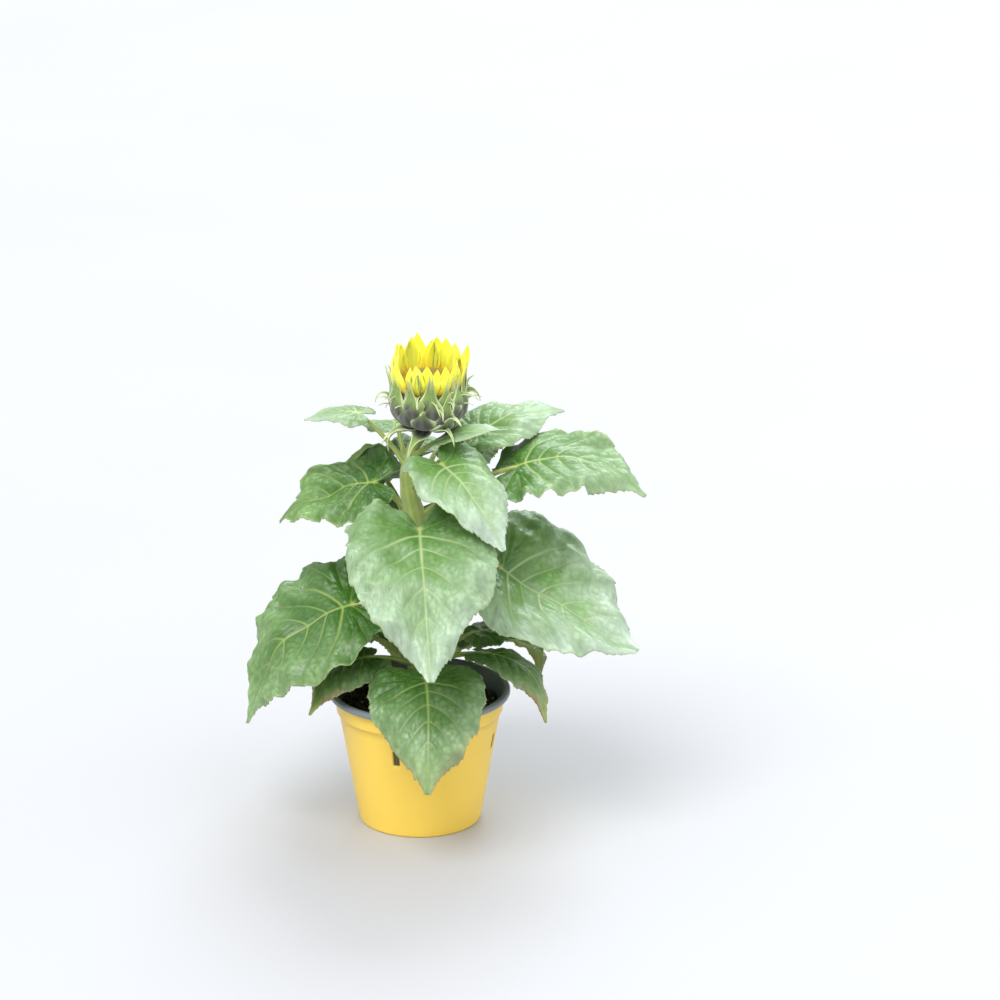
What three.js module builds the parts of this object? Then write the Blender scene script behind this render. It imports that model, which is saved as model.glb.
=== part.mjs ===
// A dwarf sunflower in a round two-tone plastic pot.
// Millimetres, +Z up. The origin is the centre of the pot's flat underside.
// Bearings turn about +Z: 0 points along -Y, 90 points along +X.
import * as THREE from 'three';

// ---------- driving dimensions ----------
const RIM_DIAMETER = 105;
const POT_HEIGHT = 79.6;
const BASE_RADIUS = 35.5;
const WALL = 1.6;
const GAP = 0.3;

const RIM_RADIUS = RIM_DIAMETER / 2;
const LIP_HEIGHT = 3.6;
const LIP_WIDTH = 4.4;
const STEP_HEIGHT = 66;
const STEP_RADIUS = 46.8;
const UPPER_WALL_RADIUS = 48.4;
const SOIL_TOP = 72;
const SOIL_MOUND = 1.5;

// Stem stations: [height, x, y, radius], from the soil to the flower head.
const STEM = [
  [SOIL_TOP + SOIL_MOUND + GAP, 0, 0, 7.0],
  [90, 0, 0, 5.6],
  [130, -1, 0, 5.2],
  [178, -2, 0, 5.8],
  [208, -6, 0, 4.0],
  [222, -3.5, 0, 3.3],
  [238, 5, 0, 3.4],
];

// Flower head, round its own upright axis.
const HEAD = { x: 6, y: 0, base: 239, rim: 262, radius: 22 };
// Outer bracts: a collar of pointed tips, with a gap for the small leaf that grows beside it.
const COLLAR = { inner: 10, outer: 30, below: 1.2, rise: 9, thick: 2.2, tips: 14, notch: 0.72 };
const COLLAR_GAP = { bearing: 68, halfAngle: 60, outer: 10.8 };
const RAYS = { foot: 15, flare: 22.5, wall: 2.6, height: 26.5, tips: 15, notch: 0.72 };
const DISC_HEIGHT = 6;

// Room that a stalk keeps from the stem's skin, so that a leaning stem stays clear of it.
const STEM_CLEAR = 1.3;

// Leaf blades: thickness, the room kept from the stalk's end, and how much the two halves cup downwards.
const BLADE_THICKNESS = 1.4;
const BLADE_CLEAR = 1.8;
const CUP = -0.07;

// Half outline of a heart-shaped blade, from the sinus round the lobe to the tip:
// [along the midrib in blade lengths, aside in half widths, where its vein leaves the midrib].
const HALF_OUTLINE = [
  [-0.08, 0.07, 0.0],
  [-0.18, 0.22, 0.01],
  [-0.21, 0.46, 0.02],
  [-0.12, 0.80, 0.04],
  [0.08, 0.99, 0.08],
  [0.28, 0.96, 0.16],
  [0.50, 0.82, 0.30],
  [0.72, 0.55, 0.50],
  [0.90, 0.22, 0.75],
  [1.00, 0.03, 0.97],
];

// Every leaf: [name, node height, bearing, stalk [length, rise at stem, rise at blade],
//              blade [length, width], pitch [at base, at tip], roll, sweep, fold], in mm and degrees.
const LEAVES = [
  ['low_front', 89, 5, [42, 34, -4], [74, 69], [-14, -80], 4, -10, 2],
  ['low_right', 92, 67, [45, 32, 4], [58, 34], [0, -85], -4, -12, 1],
  ['low_left', 92, -64, [36, 33, 4], [50, 40], [2, -74], -4, 14, 2],
  ['low_back', 86, 176, [42, 34, -2], [78, 66], [-8, -78], 3, 10, 3],
  ['low_back_left', 93, -116, [42, 34, 5], [60, 46], [2, -70], 5, -8, 3],
  ['low_back_right', 92, 122, [42, 34, 4], [64, 54], [0, -72], -5, 8, 4],
  ['left', 109, -77, [46, 53, 12], [99, 90], [-12, -84], -22, -18, 7],
  ['right', 127, 77, [57, 48, 14], [94, 98], [-34, -16], 24, -20, 20],
  ['back_left', 108, -148, [54, 46, 8], [92, 82], [-16, -66], 5, 12, 8],
  ['back_right', 128, 134, [58, 48, 12], [94, 86], [-12, -62], -10, -8, 8],
  ['front', 159, 3, [52, 51, 21], [99, 90], [-26, -56], 2, 3, 13],
  ['back', 148, 176, [52, 46, 16], [98, 86], [-20, -60], -2, 6, 12],
  ['upper_left', 184, -102, [29, 43, 35], [64, 62], [-12, -37], -19, -2, 8],
  ['upper_right', 179, 85, [69, 48, 14], [80, 70], [24, -44], 14, -12, 4],
  ['upper_back_left', 168, -154, [48, 49, 20], [80, 64], [-8, -50], 3, 4, 10],
  ['upper_back', 186, 158, [44, 50, 24], [76, 68], [2, -46], -4, -10, 10],
  ['upper_front', 199, 39, [37, 55, 20], [66, 57], [-20, -50], 5, 3, 12],
  ['upper_back_right', 196, 116, [52, 48, 25], [60, 48], [22, -10], 12, 4, 8],
  ['small_left', 212, -108, [42, 56, 36], [34, 28], [4, -28], -8, 2, 3],
  ['small_back', 206, -168, [36, 50, 30], [42, 36], [2, -38], 3, 6, 6],
  ['small_right', 218, 62, [26, 43, 26], [42, 22], [26, 4], 14, 0, 8],
];

// ---------- colours ----------
const finish = (color, roughness) => new THREE.MeshStandardMaterial({ color, roughness, metalness: 0 });
const materials = {
  pot: () => finish(0xf0cf52, 0.45),
  lip: () => finish(0x7f8a92, 0.5),
  soil: () => finish(0x2a1c14, 0.95),
  stem: () => finish(0xa9b873, 0.6),
  leaf: () => finish(0x5c8a58, 0.45),
  bract: () => finish(0x4d6147, 0.6),
  ray: () => finish(0xf8de2c, 0.55),
  disc: () => finish(0x6b5a24, 0.8),
};

// ---------- helpers ----------
const radians = THREE.MathUtils.degToRad;
const mix = (a, b, t) => a + (b - a) * t;

function named(name, geometry, material) {
  const mesh = new THREE.Mesh(geometry, material);
  mesh.name = name;
  return mesh;
}

// Moves every corner of a closed geometry to place(x, y, z), which keeps it closed.
function reshape(geometry, place) {
  const corners = geometry.getAttribute('position');
  for (let i = 0; i < corners.count; i += 1) {
    const p = place(corners.getX(i), corners.getY(i), corners.getZ(i));
    corners.setXYZ(i, p.x, p.y, p.z);
  }
  geometry.deleteAttribute('normal');
  geometry.deleteAttribute('uv');
  return geometry;
}

// A lathe about the vertical axis, from [radius, height] pairs that start and end on the axis or close.
function turned(profile, segments) {
  const points = profile.map(([r, z]) => new THREE.Vector2(r, z));
  return new THREE.LatheGeometry(points, segments).rotateX(Math.PI / 2);
}

// A tapering limb: centre(t) and radius(t) for t from 0 to 1.
function limb(centre, radius, steps, sides) {
  const section = new THREE.Shape();
  for (let k = 0; k < sides; k += 1) {
    const a = (2 * Math.PI * k) / sides;
    const move = k === 0 ? 'moveTo' : 'lineTo';
    section[move](Math.cos(a), Math.sin(a));
  }
  section.closePath();
  const bar = new THREE.ExtrudeGeometry(section, { depth: 1, steps, bevelEnabled: false, curveSegments: 1 });
  const small = 0.01;
  return reshape(bar, (x, y, t) => {
    const along = centre(Math.min(t + small, 1)).sub(centre(Math.max(t - small, 0))).normalize();
    const guide = Math.abs(along.z) > 0.99 ? new THREE.Vector3(0, 1, 0) : new THREE.Vector3(0, 0, 1);
    const across = guide.clone().cross(along).normalize();
    const upward = along.clone().cross(across);
    return centre(t).addScaledVector(across, x * radius(t)).addScaledVector(upward, y * radius(t));
  });
}

// Stem axis and radius at a height, eased from station to station.
function stemAt(z) {
  let k = 0;
  while (k < STEM.length - 2 && z > STEM[k + 1][0]) k += 1;
  const [low, high] = [STEM[k], STEM[k + 1]];
  const t = THREE.MathUtils.clamp((z - low[0]) / (high[0] - low[0]), 0, 1);
  const eased = t * t * (3 - 2 * t);
  const [x, y, radius] = [1, 2, 3].map((i) => mix(low[i], high[i], eased));
  return { centre: new THREE.Vector3(x, y, z), radius };
}

// Unit vector that heads for a bearing and rises by a pitch, both in radians.
function heading(pitch, bearing) {
  const level = Math.cos(pitch);
  return new THREE.Vector3(level * Math.sin(bearing), -level * Math.cos(bearing), Math.sin(pitch));
}

// ---------- leaves ----------
const ARC_STEPS = 24;

// Follows a curve whose pitch and bearing change evenly, and returns its points.
function arc(start, length, pitches, bearing, sweep) {
  const points = [start.clone()];
  for (let k = 0; k < ARC_STEPS; k += 1) {
    const t = (k + 0.5) / ARC_STEPS;
    const step = heading(mix(pitches[0], pitches[1], t), bearing + sweep * t);
    points.push(points[k].clone().addScaledVector(step, length / ARC_STEPS));
  }
  return points;
}

function alongArc(points, t) {
  const at = THREE.MathUtils.clamp(t, 0, 1) * ARC_STEPS;
  const k = Math.min(Math.floor(at), ARC_STEPS - 1);
  return points[k].clone().lerp(points[k + 1], at - k);
}

function readLeaf([name, node, bearing, stalk, blade, pitch, roll, sweep, fold]) {
  return {
    name,
    node,
    bearing: radians(bearing),
    stalk: { length: stalk[0], pitches: [radians(stalk[1]), radians(stalk[2])] },
    length: blade[0],
    halfWidth: blade[1] / 2,
    pitches: pitch.map(radians),
    roll: radians(roll),
    sweep: radians(sweep),
    fold: radians(fold),
  };
}

function stalkArc(leaf) {
  return arc(stemAt(leaf.node).centre, leaf.stalk.length, leaf.stalk.pitches, leaf.bearing, 0);
}

// A leaf stalk: starts clear of the stem's skin and ends just short of its blade.
function stalkGeometry(leaf) {
  const points = stalkArc(leaf);
  const foot = 1.3 + 0.012 * leaf.length;
  const neck = 0.7 + 0.008 * leaf.length;
  const rise = leaf.stalk.pitches[0];
  const stem = stemAt(leaf.node).radius;
  const clear = (stem + STEM_CLEAR + foot * Math.sin(rise)) / Math.cos(rise);
  const first = clear / leaf.stalk.length;
  const last = 1 - (2 * neck + BLADE_CLEAR) / leaf.stalk.length;
  const steps = leaf.stalk.length > 25 ? 5 : 2;
  return limb((t) => alongArc(points, mix(first, last, t)), (t) => mix(foot, neck, t), steps, 6);
}

// Point of a blade: x along the midrib in blade lengths, y aside in mm, lift off the surface in mm.
function bladePoint(leaf, midrib, x, y, lift) {
  const t = THREE.MathUtils.clamp(x, 0, 1);
  const pitch = mix(leaf.pitches[0], leaf.pitches[1], t);
  const bearing = leaf.bearing + leaf.sweep * t;
  const along = heading(pitch, bearing);
  const level = new THREE.Vector3(Math.cos(bearing), Math.sin(bearing), 0);
  const normal = along.clone().cross(level);
  const [c, s] = [Math.cos(leaf.roll), Math.sin(leaf.roll)];
  const aside = level.clone().multiplyScalar(c).addScaledVector(normal, s);
  const up = normal.clone().multiplyScalar(c).addScaledVector(level, -s);
  const height = Math.abs(y) * Math.sin(leaf.fold) + (CUP * y * y) / leaf.halfWidth + lift;
  return alongArc(midrib, x)
    .addScaledVector(along, Math.min(x, 0) * leaf.length)
    .addScaledVector(aside, y * Math.cos(leaf.fold))
    .addScaledVector(up, height);
}

// A thin closed blade of the leaf's outline, on rulings that follow its side veins.
function bladeGeometry(leaf) {
  const foot = stalkArc(leaf)[ARC_STEPS];
  const midrib = arc(foot, leaf.length, leaf.pitches, leaf.bearing, leaf.sweep);
  const rows = HALF_OUTLINE.length - 1;
  const slab = new THREE.BoxGeometry(2, rows, BLADE_THICKNESS, 4, rows, 1);
  return reshape(slab, (across, row, lift) => {
    const [x, y, vein] = HALF_OUTLINE[Math.round(row + rows / 2)];
    const out = Math.abs(across);
    return bladePoint(leaf, midrib, mix(vein, x, out), -across * y * leaf.halfWidth, lift);
  });
}

// ---------- flower head ----------
const onHead = (geometry) => geometry.translate(HEAD.x, HEAD.y, HEAD.base);
const HEAD_HEIGHT = HEAD.rim - HEAD.base;

// A row of points round a ring: 1 at each tip, down to the notch value between them.
const scallop = (angle, tips, notch) => mix(notch, 1, Math.abs(Math.cos((tips * angle) / 2)));

function receptacleGeometry() {
  const r = HEAD.radius;
  const profile = [
    [0, 0],
    [3.8, 0],
    [0.62 * r, 0.12 * HEAD_HEIGHT],
    [0.92 * r, 0.4 * HEAD_HEIGHT],
    [r, 0.72 * HEAD_HEIGHT],
    [0.93 * r, HEAD_HEIGHT],
    [0, HEAD_HEIGHT],
  ];
  return onHead(turned(profile, 24));
}

// The spreading outer bracts: a thin collar under the receptacle, cut into pointed tips.
function collarGeometry() {
  const { inner, outer, thick, tips } = COLLAR;
  const ring = turned([
    [inner, 0],
    [inner + 1, -thick],
    [outer - 1, -thick],
    [outer, 0],
    [inner, 0],
  ], 4 * tips);
  const gapAngle = radians(COLLAR_GAP.bearing - 90);
  const inGap = (angle) => Math.cos(angle - gapAngle) > Math.cos(radians(COLLAR_GAP.halfAngle));
  return onHead(reshape(ring, (x, y, z) => {
    const angle = Math.atan2(y, x);
    const out = (Math.hypot(x, y) - inner) / (outer - inner);
    const reach = inGap(angle) ? COLLAR_GAP.outer : outer;
    const tip = mix(inner, reach, scallop(angle, tips, COLLAR.notch));
    const radius = mix(inner, tip, out);
    const height = z - COLLAR.below + (COLLAR.rise * (radius - inner)) / (outer - inner);
    return new THREE.Vector3(Math.cos(angle) * radius, Math.sin(angle) * radius, height);
  }));
}

// The crown of upright ray florets: a flaring ring with pointed tips.
function raysGeometry() {
  const foot = HEAD_HEIGHT + GAP;
  const top = foot + RAYS.height;
  const waist = mix(foot, top, 0.45);
  const waistRadius = mix(RAYS.foot, RAYS.flare, 0.7);
  const ring = turned([
    [RAYS.foot, foot],
    [RAYS.foot + RAYS.wall, foot],
    [waistRadius + RAYS.wall, waist],
    [RAYS.flare + 0.3 * RAYS.wall, top],
    [RAYS.flare - 0.3 * RAYS.wall, top],
    [waistRadius, waist],
    [RAYS.foot, foot],
  ], 4 * RAYS.tips);
  return onHead(reshape(ring, (x, y, z) => {
    const tip = mix(foot, top, scallop(Math.atan2(y, x), RAYS.tips, RAYS.notch));
    return new THREE.Vector3(x, y, z > waist + 1 ? tip : z);
  }));
}

function discGeometry() {
  const radius = RAYS.foot - GAP;
  const foot = HEAD_HEIGHT + GAP;
  const top = foot + DISC_HEIGHT;
  return onHead(turned([
    [0, foot],
    [radius, foot],
    [radius, mix(foot, top, 0.5)],
    [0.6 * radius, top],
    [0, top],
  ], 20));
}

// ---------- pot ----------
const POT_SEGMENTS = 40;

function potGeometry() {
  const top = POT_HEIGHT - LIP_HEIGHT - GAP;
  return turned([
    [0, 0],
    [BASE_RADIUS - 1, 0],
    [BASE_RADIUS, 1],
    [STEP_RADIUS, STEP_HEIGHT],
    [UPPER_WALL_RADIUS, STEP_HEIGHT + 1.5],
    [UPPER_WALL_RADIUS + 0.6, top],
    [UPPER_WALL_RADIUS + 0.6 - WALL, top],
    [STEP_RADIUS - WALL, STEP_HEIGHT],
    [BASE_RADIUS - WALL, WALL],
    [0, WALL],
  ], POT_SEGMENTS);
}

function lipGeometry() {
  const low = POT_HEIGHT - LIP_HEIGHT;
  const inner = RIM_RADIUS - LIP_WIDTH;
  return turned([
    [inner, low],
    [RIM_RADIUS - 0.6, low],
    [RIM_RADIUS, low + 0.8],
    [RIM_RADIUS - 0.3, POT_HEIGHT - 0.6],
    [RIM_RADIUS - 1.2, POT_HEIGHT],
    [inner + 0.8, POT_HEIGHT],
    [inner, low],
  ], POT_SEGMENTS);
}

function soilGeometry() {
  const inset = WALL + GAP;
  return turned([
    [0, WALL + GAP],
    [BASE_RADIUS - inset, WALL + GAP],
    [STEP_RADIUS - inset, STEP_HEIGHT - 1],
    [STEP_RADIUS - inset - 0.5, SOIL_TOP - 2],
    [0.7 * STEP_RADIUS, SOIL_TOP],
    [0, SOIL_TOP + SOIL_MOUND],
  ], POT_SEGMENTS);
}

function stemGeometry() {
  const low = STEM[0][0];
  const high = STEM[STEM.length - 1][0];
  const at = (t) => stemAt(mix(low, high, t));
  return limb((t) => at(t).centre, (t) => at(t).radius, 16, 10);
}

// ---------- the plant ----------
const plant = new THREE.Group();
plant.add(named('pot', potGeometry(), materials.pot()));
plant.add(named('pot_lip', lipGeometry(), materials.lip()));
plant.add(named('soil', soilGeometry(), materials.soil()));
plant.add(named('stem', stemGeometry(), materials.stem()));
for (const row of LEAVES) {
  const leaf = readLeaf(row);
  plant.add(named(`stalk_${leaf.name}`, stalkGeometry(leaf), materials.stem()));
  plant.add(named(`leaf_${leaf.name}`, bladeGeometry(leaf), materials.leaf()));
}
plant.add(named('flower_receptacle', receptacleGeometry(), materials.bract()));
plant.add(named('flower_bracts', collarGeometry(), materials.bract()));
plant.add(named('flower_rays', raysGeometry(), materials.ray()));
plant.add(named('flower_disc', discGeometry(), materials.disc()));

export default plant;
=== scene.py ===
"""A dwarf sunflower in a two-tone pot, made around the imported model. Metres, +Z up."""
import math

import bpy
import numpy as np
from mathutils import Euler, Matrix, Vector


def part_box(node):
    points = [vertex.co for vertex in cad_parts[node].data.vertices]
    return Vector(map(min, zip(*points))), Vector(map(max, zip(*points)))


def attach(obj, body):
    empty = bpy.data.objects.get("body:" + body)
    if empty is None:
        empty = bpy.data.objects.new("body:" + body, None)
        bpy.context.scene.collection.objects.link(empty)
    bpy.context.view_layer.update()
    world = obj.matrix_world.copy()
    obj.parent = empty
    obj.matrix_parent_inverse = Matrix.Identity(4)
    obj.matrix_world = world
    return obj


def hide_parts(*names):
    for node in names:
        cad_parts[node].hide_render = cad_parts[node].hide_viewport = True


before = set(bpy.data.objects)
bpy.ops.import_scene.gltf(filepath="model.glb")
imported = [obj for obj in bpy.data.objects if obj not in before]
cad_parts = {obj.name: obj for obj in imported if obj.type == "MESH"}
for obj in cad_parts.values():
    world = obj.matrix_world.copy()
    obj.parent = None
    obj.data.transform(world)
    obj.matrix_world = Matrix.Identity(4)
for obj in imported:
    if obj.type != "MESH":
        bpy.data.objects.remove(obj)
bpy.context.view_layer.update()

MM = 0.001
RNG = np.random.default_rng(20261)


# ---------- places from the frame ----------
def span(node):
    """Lowest and highest corner of a node as arrays, in metres."""
    low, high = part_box(node)
    return np.array(low), np.array(high)


_, POT_HIGH = span("pot")
LIP_LOW, LIP_HIGH = span("pot_lip")
SOIL_LOW, SOIL_HIGH = span("soil")
STEM_LOW, STEM_HIGH = span("stem")
CUP_LOW, CUP_HIGH = span("flower_receptacle")
RAYS_LOW, RAYS_HIGH = span("flower_rays")
DISC_LOW, DISC_HIGH = span("flower_disc")

RIM_RADIUS = LIP_HIGH[0]
RIM_TOP = LIP_HIGH[2]
HEAD_CENTRE = (CUP_LOW + CUP_HIGH) / 2
HEAD_X, HEAD_Y = HEAD_CENTRE[0], HEAD_CENTRE[1]

# The plant's habit, as in its CAD model. Stem stations: [height, x, y, radius] in mm.
STEM = np.array([
    [73.8, 0, 0, 7.0],
    [90, 0, 0, 5.6],
    [130, -1, 0, 5.2],
    [178, -2, 0, 5.8],
    [208, -6, 0, 4.0],
    [222, -3.5, 0, 3.3],
    [238, 5, 0, 3.4],
]) * MM

# Every leaf: node height, bearing, stalk [length, rise at stem, rise at blade],
# blade [length, width], pitch [at base, at tip], roll, sweep, fold, in mm and degrees;
# then its look: paleness, wave of the margin in mm, brown at the tip.
LEAVES = {
    "low_front": (89, 5, [42, 34, -4], [74, 69], [-14, -80], 4, -10, 2, 0.32, 2.0, 0.25),
    "low_right": (92, 67, [45, 32, 4], [58, 34], [0, -85], -4, -12, 1, 0.20, 2.0, 0.9),
    "low_left": (92, -64, [36, 33, 4], [50, 40], [2, -74], -4, 14, 2, 0.10, 1.6, 0.6),
    "low_back": (86, 176, [42, 34, -2], [78, 66], [-8, -78], 3, 10, 3, 0.15, 2.0, 0.3),
    "low_back_left": (93, -116, [42, 34, 5], [60, 46], [2, -70], 5, -8, 3, 0.15, 1.8, 0.5),
    "low_back_right": (92, 122, [42, 34, 4], [64, 54], [0, -72], -5, 8, 4, 0.15, 1.8, 0.4),
    "left": (109, -77, [46, 53, 12], [99, 90], [-12, -84], -22, -18, 7, 0.18, 2.6, 0.0),
    # the right leaf's paleness is partly painted light: it is raised because its blade faces away from the
    # lamps
    "right": (127, 77, [57, 48, 14], [94, 98], [-34, -16], 24, -20, 20, 0.90, 2.6, 0.0),
    "back_left": (108, -148, [54, 46, 8], [92, 82], [-16, -66], 5, 12, 8, 0.30, 2.6, 0.0),
    "back_right": (128, 134, [58, 48, 12], [94, 86], [-12, -62], -10, -8, 8, 0.35, 2.6, 0.0),
    "front": (159, 3, [52, 51, 21], [99, 90], [-26, -56], 2, 3, 13, 0.75, 2.6, 0.0),
    "back": (148, 176, [52, 46, 16], [98, 86], [-20, -60], -2, 6, 12, 0.50, 2.6, 0.0),
    "upper_left": (184, -102, [29, 43, 35], [64, 62], [-12, -37], -19, -2, 8, 0.05, 2.6, 0.0),
    "upper_right": (179, 85, [69, 48, 14], [80, 70], [24, -44], 14, -12, 4, 0.38, 2.4, 0.0),
    "upper_back_left": (168, -154, [48, 49, 20], [80, 64], [-8, -50], 3, 4, 10, 0.50, 2.4, 0.0),
    "upper_back": (186, 158, [44, 50, 24], [76, 68], [2, -46], -4, -10, 10, 0.60, 2.4, 0.0),
    "upper_front": (199, 39, [37, 55, 20], [66, 57], [-20, -50], 5, 3, 12, 1.00, 2.0, 0.0),
    "upper_back_right": (196, 116, [52, 48, 25], [60, 48], [22, -10], 12, 4, 8, 0.70, 1.8, 0.0),
    "small_left": (212, -108, [42, 56, 36], [34, 28], [4, -28], -8, 2, 3, 0.85, 1.2, 0.0),
    "small_back": (206, -168, [36, 50, 30], [42, 36], [2, -38], 3, 6, 6, 0.80, 1.2, 0.0),
    "small_right": (218, 62, [26, 43, 26], [42, 22], [26, 4], 14, 0, 8, 0.95, 1.2, 0.0),
}
CUP = -0.07
BIG_LEAF = 55 * MM
TYPICAL_LENGTH = 95 * MM

# Teeth of a typical blade's margin, and the puckers between its veins: cells, and rungs along them.
TOOTH_SPACING, TOOTH_HEIGHT = 4.6 * MM, 1.8 * MM
CELL_SIZE, RUNG_SPACING, PUCKER_LIFT = 3.9 * MM, 7.5 * MM, 1.7 * MM
BLADE_THICKNESS, VEIN_THICKNESS = 0.40 * MM, 0.8 * MM

# Half outline of a blade from the sinus round the lobe to the tip:
# [along in blade lengths, aside in half widths, where the vein that ends there leaves the midrib].
OUTLINE = np.array([
    [-0.02, 0.03, 0.000],
    [-0.10, 0.11, 0.003],
    [-0.19, 0.27, 0.006],
    [-0.21, 0.50, 0.010],
    [-0.12, 0.80, 0.015],
    [0.07, 0.98, 0.022],
    [0.28, 0.96, 0.035],
    [0.50, 0.80, 0.150],
    [0.72, 0.50, 0.400],
    [0.90, 0.16, 0.720],
    [1.05, 0.006, 0.985],
])
# Side veins: [row of the outline where they end, strength, share of the ruling where they start].
VEINS = [
    (2.3, 0.40, 0.00),
    (3.6, 0.55, 0.00),
    (4.7, 0.40, 0.28),
    (5.5, 0.45, 0.40),
    (6.35, 1.00, 0.00),
    (7.05, 0.70, 0.00),
    (7.6, 0.65, 0.00),
    (8.15, 0.60, 0.00),
    (8.65, 0.50, 0.00),
    (9.15, 0.40, 0.00),
]
# Margins that roll over: side of the midrib, share of the width where the roll starts, its radius,
# and the outline rows that it covers.
CURLS = {
    "upper_left": (-1, 0.62, 4.2 * MM, (3.5, 9.2)),
    "left": (1, 0.74, 5.0 * MM, (2.4, 5.6)),
    "upper_right": (1, 0.80, 4.6 * MM, (5.0, 8.6)),
    "upper_back": (-1, 0.74, 5.0 * MM, (4.0, 8.0)),
    "back_left": (-1, 0.78, 5.0 * MM, (4.0, 8.0)),
}


# ---------- colours and materials ----------
def linear(*rgb):
    """Linear colour from an everyday 0-255 one."""
    c = np.array(rgb, float) / 255
    return np.where(c <= 0.04045, c / 12.92, ((c + 0.055) / 1.055) ** 2.4)


# Leaf colours as (on the darkest leaf, on the palest one).
LEAF_INNER = (linear(50, 100, 14), linear(124, 164, 90))
# The outer colour is partly the leaves' own paler green and partly painted sheen: its pale end is bluish
# white.
LEAF_OUTER_AND_SHEEN = (linear(136, 176, 98), linear(186, 204, 186))
LEAF_VEIN = (linear(164, 188, 84), linear(182, 202, 146))
LEAF_BELOW = (linear(118, 150, 72), linear(158, 182, 120))
# Leaf colours that are the same on all leaves.
LEAF_FOOT, LEAF_KNOT, LEAF_RIM = linear(56, 112, 18), linear(178, 190, 102), linear(186, 202, 146)
VEIN_BELOW = linear(196, 210, 140)
YELLOWED, BROWNED, DRIED = linear(168, 176, 84), linear(158, 112, 78), linear(92, 62, 40)
# Flower and pot.
PETAL_YELLOW, PETAL_FOOT_AND_SHADE, PETAL_HIGHLIGHT = linear(255, 249, 66), linear(255, 196, 20), linear(255, 242, 116)
BRACT_DARK, BRACT_GREY = linear(58, 56, 54), linear(100, 100, 90)
BRACT_GREEN, BRACT_RIM, BRACT_TIP = linear(124, 152, 74), linear(210, 220, 168), linear(200, 208, 146)
# The slots' dark olive is painted shade standing in for their depth.
POT_YELLOW, SLOT_PAINTED_SHADE, LIP_GREY = linear(255, 216, 88), linear(84, 78, 24), linear(126, 134, 140)


def new_material(name):
    material = bpy.data.materials.new(name)
    material.use_nodes = True
    nodes = material.node_tree.nodes
    return material, nodes, material.node_tree.links, nodes["Principled BSDF"]


def noise_node(nodes, links, scale, detail=4.0):
    """Noise in the object's own coordinates, in cells per metre."""
    place = nodes.new("ShaderNodeTexCoord")
    noise = nodes.new("ShaderNodeTexNoise")
    noise.inputs["Scale"].default_value = scale
    noise.inputs["Detail"].default_value = detail
    links.new(place.outputs["Object"], noise.inputs["Vector"])
    return noise


def ramp(nodes, links, source, low, high, start=0.3, end=0.7):
    """Spreads a 0-1 value between two limits."""
    node = nodes.new("ShaderNodeMapRange")
    node.inputs["From Min"].default_value = start
    node.inputs["From Max"].default_value = end
    node.inputs["To Min"].default_value = low
    node.inputs["To Max"].default_value = high
    links.new(source, node.inputs["Value"])
    return node.outputs["Result"]


def painted_material(name, roughness, grain, grain_depth, mottle, mottle_scale, sheen, cells=None, glow=0.0):
    """Colour from the mesh's own paint, mottled, with a grained surface and uneven gloss.

    cells are coarser bumps per metre; glow is the share of light that goes into the surface.
    """
    material, nodes, links, shader = new_material(name)
    paint = nodes.new("ShaderNodeAttribute")
    paint.attribute_name = "paint"
    blotch = noise_node(nodes, links, mottle_scale)
    value = ramp(nodes, links, blotch.outputs["Fac"], 1 - mottle, 1 + mottle)
    tint = nodes.new("ShaderNodeHueSaturation")
    links.new(value, tint.inputs["Value"])
    links.new(paint.outputs["Color"], tint.inputs["Color"])
    links.new(tint.outputs["Color"], shader.inputs["Base Color"])
    fine = noise_node(nodes, links, grain, 6.0)
    gloss = noise_node(nodes, links, mottle_scale * 2.3)
    links.new(ramp(nodes, links, gloss.outputs["Fac"], *roughness), shader.inputs["Roughness"])
    height = fine.outputs["Fac"]
    if cells:
        pebble = noise_node(nodes, links, cells, 1.5)
        add = nodes.new("ShaderNodeMath")
        add.operation = "MULTIPLY_ADD"
        add.inputs[1].default_value = 0.15
        links.new(fine.outputs["Fac"], add.inputs[0])
        links.new(pebble.outputs["Fac"], add.inputs[2])
        height = add.outputs["Value"]
    bump = nodes.new("ShaderNodeBump")
    bump.inputs["Strength"].default_value = 0.6
    bump.inputs["Distance"].default_value = grain_depth
    links.new(height, bump.inputs["Height"])
    links.new(bump.outputs["Normal"], shader.inputs["Normal"])
    shader.inputs["Specular IOR Level"].default_value = 0.5
    shader.inputs["Subsurface Weight"].default_value = glow
    shader.inputs["Subsurface Radius"].default_value = (1.0, 0.8, 0.3)
    shader.inputs["Subsurface Scale"].default_value = 1.5 * MM
    shader.inputs["Sheen Weight"].default_value = sheen
    shader.inputs["Sheen Roughness"].default_value = 0.5
    return material


# Surfaces: name, roughness from and to, grains per metre, their depth, mottle, patches per metre, sheen.
MATERIALS = {
    "leaf": painted_material("leaf_skin", (0.32, 0.44), 1300, 0.0004, 0.05, 45, 0.0, cells=560),
    "stem": painted_material("stem_skin", (0.42, 0.6), 700, 0.0002, 0.10, 60, 0.3),
    "bract": painted_material("bract_skin", (0.5, 0.7), 900, 0.0002, 0.14, 120, 0.4),
    "ray": painted_material("petal_skin", (0.45, 0.6), 800, 0.00015, 0.04, 90, 0.25, glow=1.0),
    "disc": painted_material("disc_skin", (0.5, 0.8), 900, 0.0002, 0.2, 160, 0.1),
    "soil": painted_material("peat", (0.75, 0.98), 1200, 0.0006, 0.35, 180, 0.0),
    "pot": painted_material("pot_plastic", (0.34, 0.44), 1500, 0.00004, 0.03, 25, 0.0),
    "lip": painted_material("lip_plastic", (0.38, 0.5), 1500, 0.00005, 0.05, 60, 0.0),
    "hair": painted_material("hair", (0.5, 0.6), 900, 0.00002, 0.05, 100, 0.3),
}


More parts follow.
